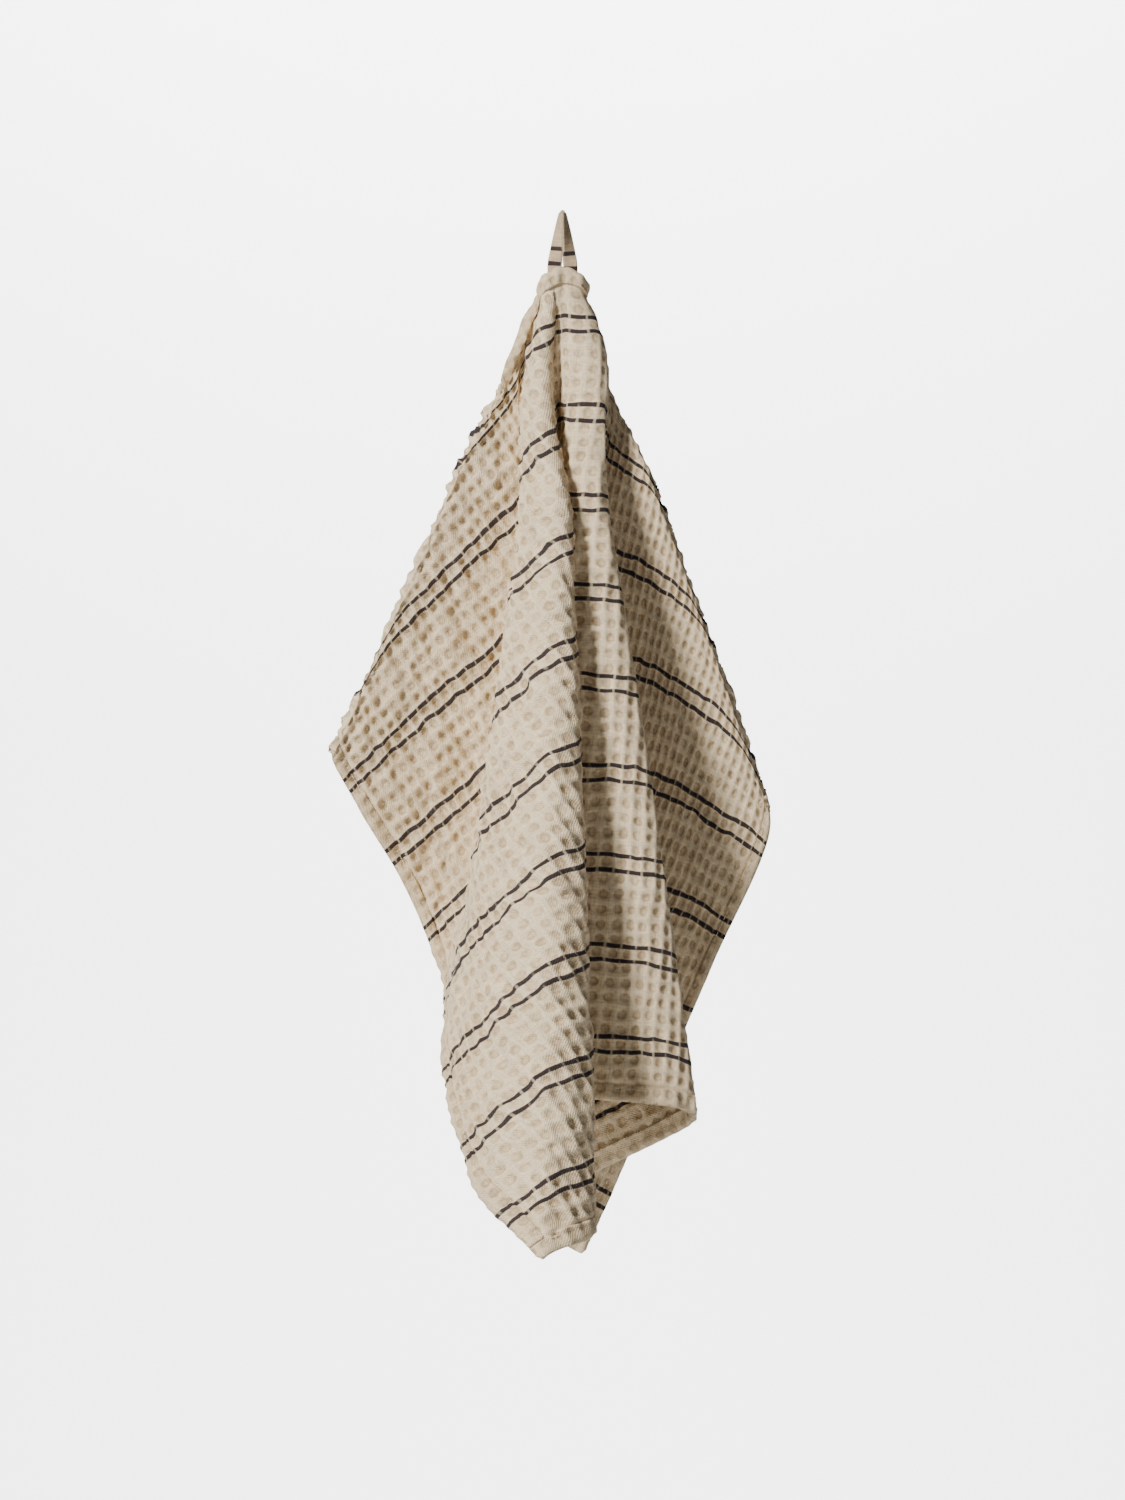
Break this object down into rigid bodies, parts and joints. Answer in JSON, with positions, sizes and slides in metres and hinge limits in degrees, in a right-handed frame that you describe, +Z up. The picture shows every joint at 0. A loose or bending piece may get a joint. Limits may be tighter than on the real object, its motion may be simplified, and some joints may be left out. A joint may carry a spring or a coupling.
{
  "type": "hanging golf towel",
  "caption": "Striped waffle-weave cotton towel hanging in soft pleats from a sewn cloth loop at the middle of its long hemmed edge.",
  "frame": {"origin": "inside of the top of the hanging loop, where it bears on its hook", "axes": "+Z up, away from the cloth; the front of the towel faces -Y; +X to the right as seen from the front"},
  "size_m": [0.2675, 0.2376, 0.6334],
  "materials": {
    "waffle_cloth": "matt cream waffle-weave cotton with pairs of thin charcoal stripes",
    "hem_cloth": "matt cream cotton, turned and pressed",
    "loop_tape": "matt folded cotton strip of the striped cloth",
    "sewing_thread": "soft spun cotton thread"
  },
  "bodies": {
    "loop": {"hanging_loop": "loop_tape"},
    "towel": {"towel_panel": "waffle_cloth", "top_hem": "hem_cloth", "bottom_hem": "hem_cloth", "left_side_hem": "hem_cloth", "right_side_hem": "hem_cloth", "top_hem_seam": "sewing_thread", "bottom_hem_seam": "sewing_thread", "left_side_seam": "sewing_thread", "right_side_seam": "sewing_thread", "left_bar_tack": "sewing_thread", "right_bar_tack": "sewing_thread"}
  },
  "joints": [
    {"name": "loop_flex", "type": "hinge", "parent": "loop", "child": "towel", "pos_m": [0, 0, -0.032], "axis": [1, 0, 0], "range_deg": [-60, 60]}
  ]
}
